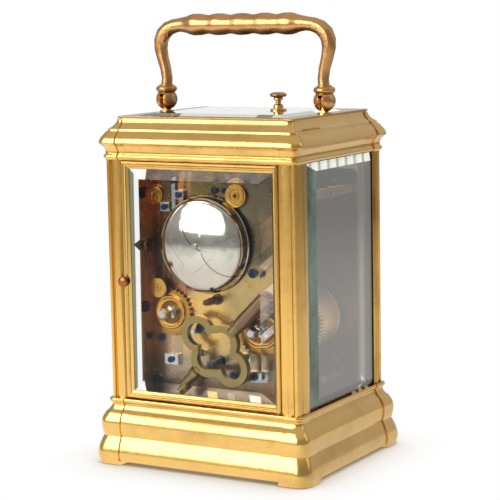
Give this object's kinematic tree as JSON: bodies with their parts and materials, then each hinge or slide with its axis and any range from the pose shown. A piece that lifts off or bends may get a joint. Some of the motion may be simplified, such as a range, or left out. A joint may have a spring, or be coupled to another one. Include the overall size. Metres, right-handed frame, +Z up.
{
  "type": "carriage clock",
  "caption": "Gilt brass carriage clock with bevelled glass panes, a rear door, a folding carrying handle, a repeat button and a striking, alarm movement inside.",
  "frame": {"origin": "middle of the footprint, on the table the feet stand on", "axes": "+Z up; the dial faces -Y and the rear door faces +Y; +X is to the right seen from the front"},
  "size_m": [0.1, 0.0874, 0.1835],
  "materials": {
    "gilt_brass": "polished, lightly tarnished gilt",
    "handle_brass": "worn gilt, warmer",
    "plate_brass": "fine grained",
    "wheel_brass": "polished",
    "key_brass": "dull pale",
    "clear_glass": "polished, bevelled",
    "bright_steel": "polished",
    "blued_steel": "blued",
    "dark_steel": "dark, oily",
    "bell_silver": "mirror",
    "white_enamel": "gloss enamel"
  },
  "bodies": {
    "root": {"base_moulding": "gilt_brass", "base_plate": "plate_brass", "cornice_moulding": "gilt_brass", "pillar_rear_left": "gilt_brass", "pillar_rear_right": "gilt_brass", "pillar_front_left": "gilt_brass", "pillar_front_right": "gilt_brass", "front_glass": "clear_glass", "left_glass": "clear_glass", "right_glass": "clear_glass", "top_glass": "clear_glass", "screws": "blued_steel", "pivot_pins": "bright_steel", "handle_posts": "handle_brass", "repeat_bush": "handle_brass", "front_plate": "plate_brass", "back_plate": "plate_brass", "movement_pillars": "plate_brass", "back_plate_cocks": "wheel_brass", "back_plate_steelwork": "bright_steel", "platform_plate": "plate_brass", "hairspring": "blued_steel", "platform_cocks": "plate_brass", "bell": "bell_silver", "dial": "white_enamel", "winding_key": "key_brass"},
    "door": {"door_frame": "gilt_brass", "door_glass": "clear_glass", "door_knob": "handle_brass"},
    "handle": {"carry_handle": "handle_brass"},
    "repeat_button_body": {"repeat_button": "handle_brass"},
    "repeat_lever_body": {"repeat_lever": "bright_steel"},
    "going_barrel_body": {"going_barrel": "wheel_brass", "going_mainspring": "blued_steel"},
    "going_winding": {"going_winding_arbor": "bright_steel", "going_ratchet": "wheel_brass"},
    "going_click_body": {"going_click": "bright_steel"},
    "intermediate": {"intermediate_wheel": "wheel_brass"},
    "centre": {"centre_wheel": "wheel_brass"},
    "third": {"third_wheel": "wheel_brass"},
    "contrate": {"contrate_wheel": "wheel_brass"},
    "escape": {"escape_wheel": "wheel_brass"},
    "pallet": {"pallet_lever": "bright_steel"},
    "balance": {"balance_wheel": "wheel_brass"},
    "strike_barrel_body": {"strike_barrel": "wheel_brass", "strike_mainspring": "blued_steel"},
    "strike_winding": {"strike_winding_arbor": "bright_steel", "strike_ratchet": "wheel_brass"},
    "strike_click_body": {"strike_click": "bright_steel"},
    "strike_second": {"strike_second_wheel": "wheel_brass"},
    "strike_third": {"strike_third_wheel": "wheel_brass"},
    "fly": {"strike_fly": "wheel_brass"},
    "hammer_body": {"hammer": "dark_steel"},
    "minute": {"cannon_pinion": "wheel_brass", "minute_hand": "blued_steel"},
    "minute_wheel_body": {"minute_wheel": "wheel_brass"},
    "hour": {"hour_wheel": "wheel_brass", "hour_hand": "blued_steel"},
    "hand_setting": {"hand_setting_arbor": "dark_steel"},
    "alarm": {"alarm_arbor": "blued_steel"}
  },
  "joints": [
    {"name": "door_hinge", "type": "hinge", "parent": "root", "child": "door", "pos_m": [-0.0339, 0.0359, 0.0764], "axis": [0, 0, 1], "range_deg": [0, 90]},
    {"name": "handle_fold", "type": "hinge", "parent": "root", "child": "handle", "pos_m": [0, 0, 0.1482], "axis": [1, 0, 0], "range_deg": [-90, 90]},
    {"name": "repeat_press", "type": "slide", "parent": "root", "child": "repeat_button_body", "axis": [0, 0, -1], "range_m": [0, 0.0014], "stiffness_N_per_m": 100},
    {"name": "repeat_lever_tilt", "type": "hinge", "parent": "root", "child": "repeat_lever_body", "pos_m": [-0.014, -0.0225, 0.1234], "axis": [-1, 0, 0], "range_deg": [0, 4.5]},
    {"name": "third_wheel_spin", "type": "hinge", "parent": "root", "child": "third", "pos_m": [-0.01111, 0, 0.09916], "axis": [0, -1, 0], "continuous": true},
    {"name": "going_barrel_spin", "type": "hinge", "parent": "root", "child": "going_barrel_body", "pos_m": [-0.019, 0, 0.0573], "axis": [0, 1, 0], "continuous": true},
    {"name": "intermediate_spin", "type": "hinge", "parent": "root", "child": "intermediate", "pos_m": [-0.01475, 0, 0.07479], "axis": [0, 1, 0], "continuous": true},
    {"name": "centre_spin", "type": "hinge", "parent": "root", "child": "centre", "pos_m": [0, 0, 0.088], "axis": [0, 1, 0], "continuous": true},
    {"name": "contrate_spin", "type": "hinge", "parent": "root", "child": "contrate", "pos_m": [0, 0, 0.107], "axis": [0, 1, 0], "continuous": true},
    {"name": "escape_spin", "type": "hinge", "parent": "root", "child": "escape", "pos_m": [0, 0.00196, 0.122], "axis": [0, 0, 1], "continuous": true},
    {"name": "minute_hand_spin", "type": "hinge", "parent": "root", "child": "minute", "pos_m": [0, 0, 0.088], "axis": [0, 1, 0], "continuous": true},
    {"name": "minute_wheel_spin", "type": "hinge", "parent": "root", "child": "minute_wheel_body", "pos_m": [0.00742, 0, 0.07857], "axis": [0, 1, 0], "continuous": true},
    {"name": "hour_hand_spin", "type": "hinge", "parent": "root", "child": "hour", "pos_m": [0, 0, 0.088], "axis": [0, 1, 0], "continuous": true},
    {"name": "hand_setting_spin", "type": "hinge", "parent": "root", "child": "hand_setting", "pos_m": [0.0006, 0, 0.0687], "axis": [0, 1, 0], "continuous": true},
    {"name": "strike_second_spin", "type": "hinge", "parent": "root", "child": "strike_second", "pos_m": [0.022, 0, 0.0803], "axis": [0, 1, 0], "continuous": true},
    {"name": "strike_barrel_spin", "type": "hinge", "parent": "root", "child": "strike_barrel_body", "pos_m": [0.022, 0, 0.0623], "axis": [0, 1, 0], "continuous": true},
    {"name": "strike_third_spin", "type": "hinge", "parent": "root", "child": "strike_third", "pos_m": [0.019, 0, 0.09602], "axis": [0, 1, 0], "continuous": true},
    {"name": "fly_spin", "type": "hinge", "parent": "root", "child": "fly", "pos_m": [0.012, 0, 0.10564], "axis": [0, 1, 0], "continuous": true},
    {"name": "going_wind", "type": "hinge", "parent": "root", "child": "going_winding", "pos_m": [-0.019, 0, 0.0573], "axis": [0, 1, 0], "continuous": true},
    {"name": "strike_wind", "type": "hinge", "parent": "root", "child": "strike_winding", "pos_m": [0.022, 0, 0.0623], "axis": [0, 1, 0], "continuous": true},
    {"name": "going_click_lift", "type": "hinge", "parent": "root", "child": "going_click_body", "pos_m": [-0.0276, 0, 0.068], "axis": [0, 1, 0], "range_deg": [0, 10]},
    {"name": "strike_click_lift", "type": "hinge", "parent": "root", "child": "strike_click_body", "pos_m": [0.008, 0, 0.0566], "axis": [0, 1, 0], "range_deg": [0, 10]},
    {"name": "hammer_strike", "type": "hinge", "parent": "root", "child": "hammer_body", "pos_m": [0.0265, 0, 0.0725], "axis": [0, -1, 0], "range_deg": [0, 14]},
    {"name": "alarm_set", "type": "hinge", "parent": "root", "child": "alarm", "pos_m": [-0.0006, 0, 0.0436], "axis": [0, 1, 0], "continuous": true},
    {"name": "pallet_rock", "type": "hinge", "parent": "root", "child": "pallet", "pos_m": [-0.0064, 0.00196, 0.122], "axis": [0, 0, 1], "range_deg": [-5, 5]},
    {"name": "balance_swing", "type": "hinge", "parent": "root", "child": "balance", "pos_m": [-0.0145, 0.00196, 0.126], "axis": [0, 0, 1], "range_deg": [-135, 135]}
  ],
  "couplings": [
    {"joint": "centre_spin", "follows": "third_wheel_spin", "ratio": 0.125},
    {"joint": "intermediate_spin", "follows": "third_wheel_spin", "ratio": -0.036765},
    {"joint": "going_barrel_spin", "follows": "third_wheel_spin", "ratio": 0.0073529},
    {"joint": "contrate_spin", "follows": "third_wheel_spin", "ratio": 7.5},
    {"joint": "escape_spin", "follows": "third_wheel_spin", "ratio": 75},
    {"joint": "minute_hand_spin", "follows": "third_wheel_spin", "ratio": 0.125},
    {"joint": "minute_wheel_spin", "follows": "third_wheel_spin", "ratio": -0.041667},
    {"joint": "hour_hand_spin", "follows": "third_wheel_spin", "ratio": 0.010417},
    {"joint": "hand_setting_spin", "follows": "third_wheel_spin", "ratio": 0.125},
    {"joint": "strike_barrel_spin", "follows": "strike_second_spin", "ratio": -0.2},
    {"joint": "strike_third_spin", "follows": "strike_second_spin", "ratio": -7},
    {"joint": "fly_spin", "follows": "strike_second_spin", "ratio": 52.5},
    {"joint": "repeat_lever_tilt", "follows": "repeat_press", "rad_per_m": 54.054}
  ]
}
